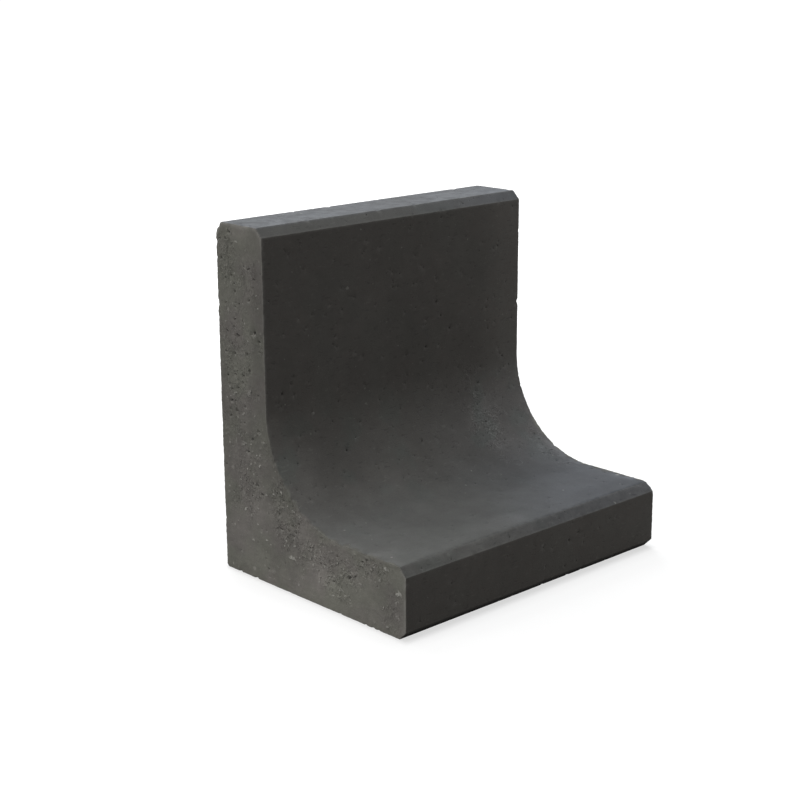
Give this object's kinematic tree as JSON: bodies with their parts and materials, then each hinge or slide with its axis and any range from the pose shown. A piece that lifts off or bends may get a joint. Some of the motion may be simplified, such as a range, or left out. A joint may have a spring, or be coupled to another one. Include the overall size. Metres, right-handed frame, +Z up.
{
  "type": "l-shaped retaining wall element",
  "caption": "Cast concrete L element: an upright wall on a thick foot, blended by a rounded hollow, with bevelled top and foot edges. Stands in a row to hold back a bank of soil.",
  "frame": {"origin": "floor level, under the middle of the element's bounding box", "axes": "+X along the row of elements, +Y out of the wall's plain outer face, -Y the way the foot reaches in under the bank, +Z up"},
  "size_m": [0.4, 0.3, 0.4],
  "materials": {
    "concrete": "dense anthracite grey concrete, matt and slightly porous, open-textured on the ends and smoother on the formed faces"
  },
  "bodies": {
    "root": {"l_element": "concrete"}
  },
  "joints": []
}
